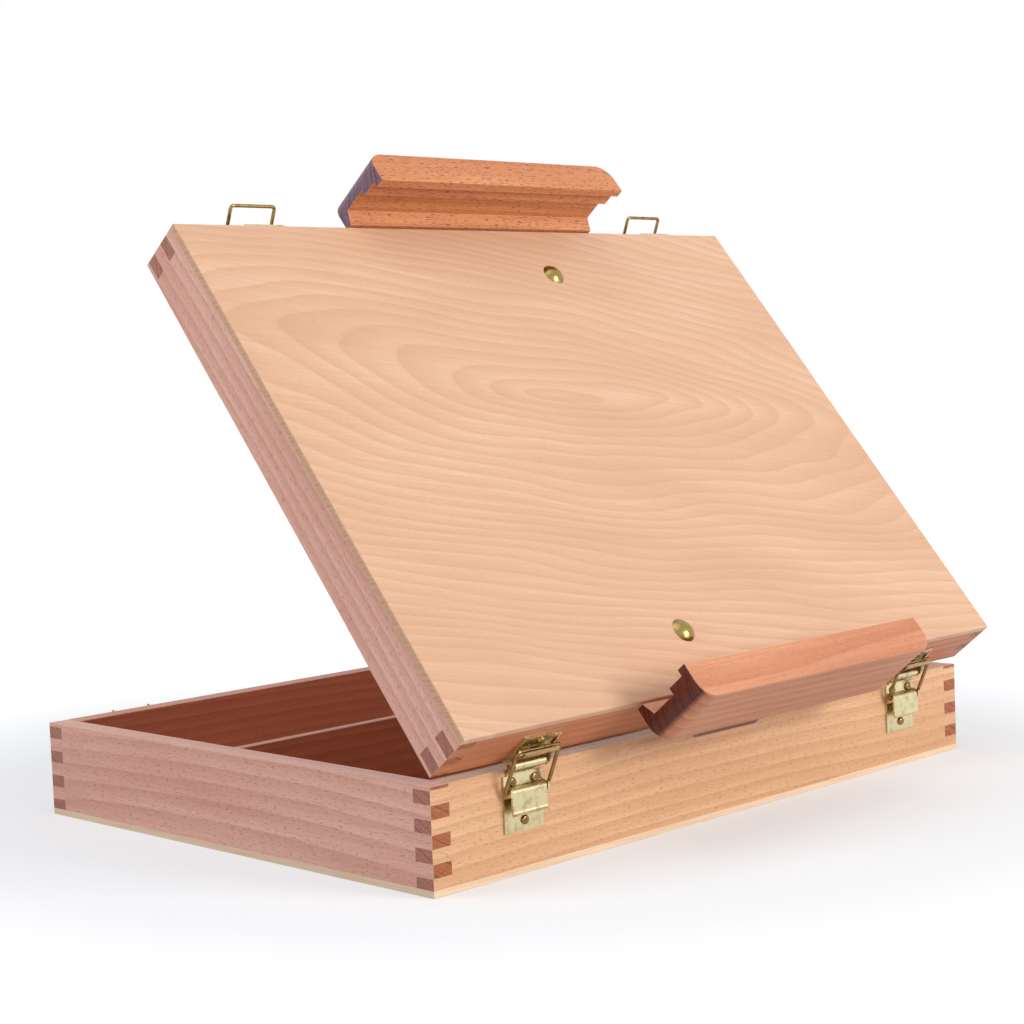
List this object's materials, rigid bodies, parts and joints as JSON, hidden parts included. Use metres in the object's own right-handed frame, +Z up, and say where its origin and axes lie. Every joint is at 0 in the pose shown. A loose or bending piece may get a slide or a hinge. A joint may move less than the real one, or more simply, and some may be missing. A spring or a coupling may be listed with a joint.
{
  "type": "table box easel",
  "caption": "Beech paint box for the table: the lid tilts up as a drawing board with a ledge and a sliding clamp rail.",
  "frame": {"origin": "centre of the underside of the bottom board", "axes": "+Z up, +X to the right along the box, -Y towards the user at the ledge side"},
  "size_m": [0.4, 0.3588, 0.333],
  "materials": {
    "solid_beech": "clear oiled steamed beech",
    "rail_beech": "clear oiled beech, profiled",
    "beech_plywood": "beech veneered plywood, clear lacquer",
    "brass_plate": "brass plated pressed steel",
    "screw_steel": "brass plated screws"
  },
  "bodies": {
    "base": {"base_bottom_board": "beech_plywood", "base_front_wall": "solid_beech", "base_rear_wall": "solid_beech", "base_left_wall": "solid_beech", "base_right_wall": "solid_beech", "tray_divider": "solid_beech", "front_catch_screws": "screw_steel", "rear_hook_screws": "screw_steel", "stay_base_plate": "brass_plate", "stay_rivet": "brass_plate", "stay_base_screws": "screw_steel", "front_catch_plate_left": "brass_plate", "front_hinge_pin_left": "brass_plate", "rear_hook_plate_left": "brass_plate", "front_catch_plate_right": "brass_plate", "front_hinge_pin_right": "brass_plate", "rear_hook_plate_right": "brass_plate"},
    "lid": {"lid_panel": "beech_plywood", "lid_front_wall": "solid_beech", "lid_rear_wall": "solid_beech", "lid_left_wall": "solid_beech", "lid_right_wall": "solid_beech", "slat_guide_left": "solid_beech", "slat_guide_middle": "solid_beech", "slat_guide_right": "solid_beech", "front_hook_screws": "screw_steel", "rear_catch_screws": "screw_steel", "ledge_bolt": "brass_plate", "clamp_bolt": "brass_plate", "ledge_washer": "brass_plate", "clamp_washer": "brass_plate", "stay_track": "brass_plate", "stay_track_screws": "screw_steel", "front_hook_plate_left": "brass_plate", "rear_catch_plate_left": "brass_plate", "rear_hinge_pin_left": "brass_plate", "front_hook_plate_right": "brass_plate", "rear_catch_plate_right": "brass_plate", "rear_hinge_pin_right": "brass_plate"},
    "stay_arm": {"stay_arm": "brass_plate", "stay_thumb_screw": "brass_plate"},
    "ledge": {"ledge_rail": "rail_beech", "ledge_slat": "solid_beech", "ledge_rail_screws": "screw_steel"},
    "ledge_wing_nut": {"ledge_wing_nut": "brass_plate"},
    "clamp": {"clamp_rail": "rail_beech", "clamp_slat": "solid_beech", "clamp_rail_screws": "screw_steel"},
    "clamp_wing_nut": {"clamp_wing_nut": "brass_plate"},
    "front_lever_left": {"front_catch_lever_left": "brass_plate"},
    "front_bail_left": {"front_catch_bail_left": "brass_plate"},
    "rear_lever_left": {"rear_catch_lever_left": "brass_plate"},
    "rear_bail_left": {"rear_catch_bail_left": "brass_plate"},
    "front_lever_right": {"front_catch_lever_right": "brass_plate"},
    "front_bail_right": {"front_catch_bail_right": "brass_plate"},
    "rear_lever_right": {"rear_catch_lever_right": "brass_plate"},
    "rear_bail_right": {"rear_catch_bail_right": "brass_plate"}
  },
  "joints": [
    {"name": "lid_tilt", "type": "hinge", "parent": "base", "child": "lid", "pos_m": [0, -0.1504, 0.0499], "axis": [1, 0, 0], "range_deg": [-51, 13]},
    {"name": "stay_arm_turn", "type": "hinge", "parent": "base", "child": "stay_arm", "pos_m": [0.187, -0.0404, 0.0499], "axis": [1, 0, 0], "range_deg": [-102, 26]},
    {"name": "ledge_slide", "type": "slide", "parent": "lid", "child": "ledge", "axis": [0, -0.6293, -0.7771], "range_m": [0, 0.06]},
    {"name": "ledge_wing_nut_turn", "type": "hinge", "parent": "lid", "child": "ledge_wing_nut", "pos_m": [-0.0345, -0.13931, 0.08775], "axis": [0, -0.7771, 0.6293], "range_deg": [-360, 360]},
    {"name": "clamp_slide", "type": "slide", "parent": "lid", "child": "clamp", "axis": [0, 0.6293, 0.7771], "range_m": [0, 0.13]},
    {"name": "clamp_wing_nut_turn", "type": "hinge", "parent": "lid", "child": "clamp_wing_nut", "pos_m": [0.036, 0.00418, 0.26494], "axis": [0, -0.7771, 0.6293], "range_deg": [-360, 360]},
    {"name": "front_lever_left_lift", "type": "hinge", "parent": "base", "child": "front_lever_left", "pos_m": [-0.145, -0.149, 0.038], "axis": [1, 0, 0], "range_deg": [-110, 0]},
    {"name": "front_bail_left_swing", "type": "hinge", "parent": "base", "child": "front_bail_left", "pos_m": [-0.145, -0.149, 0.038], "axis": [1, 0, 0], "range_deg": [-22, 5.6]},
    {"name": "rear_lever_left_lift", "type": "hinge", "parent": "lid", "child": "rear_lever_left", "pos_m": [-0.145, 0.03172, 0.28768], "axis": [1, 0, 0], "range_deg": [-110, 0]},
    {"name": "rear_bail_left_swing", "type": "hinge", "parent": "lid", "child": "rear_bail_left", "pos_m": [-0.145, 0.03172, 0.28768], "axis": [1, 0, 0], "range_deg": [-138, 12]},
    {"name": "front_lever_right_lift", "type": "hinge", "parent": "base", "child": "front_lever_right", "pos_m": [0.145, -0.149, 0.038], "axis": [1, 0, 0], "range_deg": [-110, 0]},
    {"name": "front_bail_right_swing", "type": "hinge", "parent": "base", "child": "front_bail_right", "pos_m": [0.145, -0.149, 0.038], "axis": [1, 0, 0], "range_deg": [-22, 5.6]},
    {"name": "rear_lever_right_lift", "type": "hinge", "parent": "lid", "child": "rear_lever_right", "pos_m": [0.145, 0.03172, 0.28768], "axis": [1, 0, 0], "range_deg": [-110, 0]},
    {"name": "rear_bail_right_swing", "type": "hinge", "parent": "lid", "child": "rear_bail_right", "pos_m": [0.145, 0.03172, 0.28768], "axis": [1, 0, 0], "range_deg": [-138, 12]}
  ],
  "couplings": [
    {"joint": "stay_arm_turn", "follows": "lid_tilt", "ratio": 2},
    {"joint": "front_bail_left_swing", "follows": "lid_tilt", "ratio": 0.43},
    {"joint": "front_bail_right_swing", "follows": "lid_tilt", "ratio": 0.43}
  ]
}
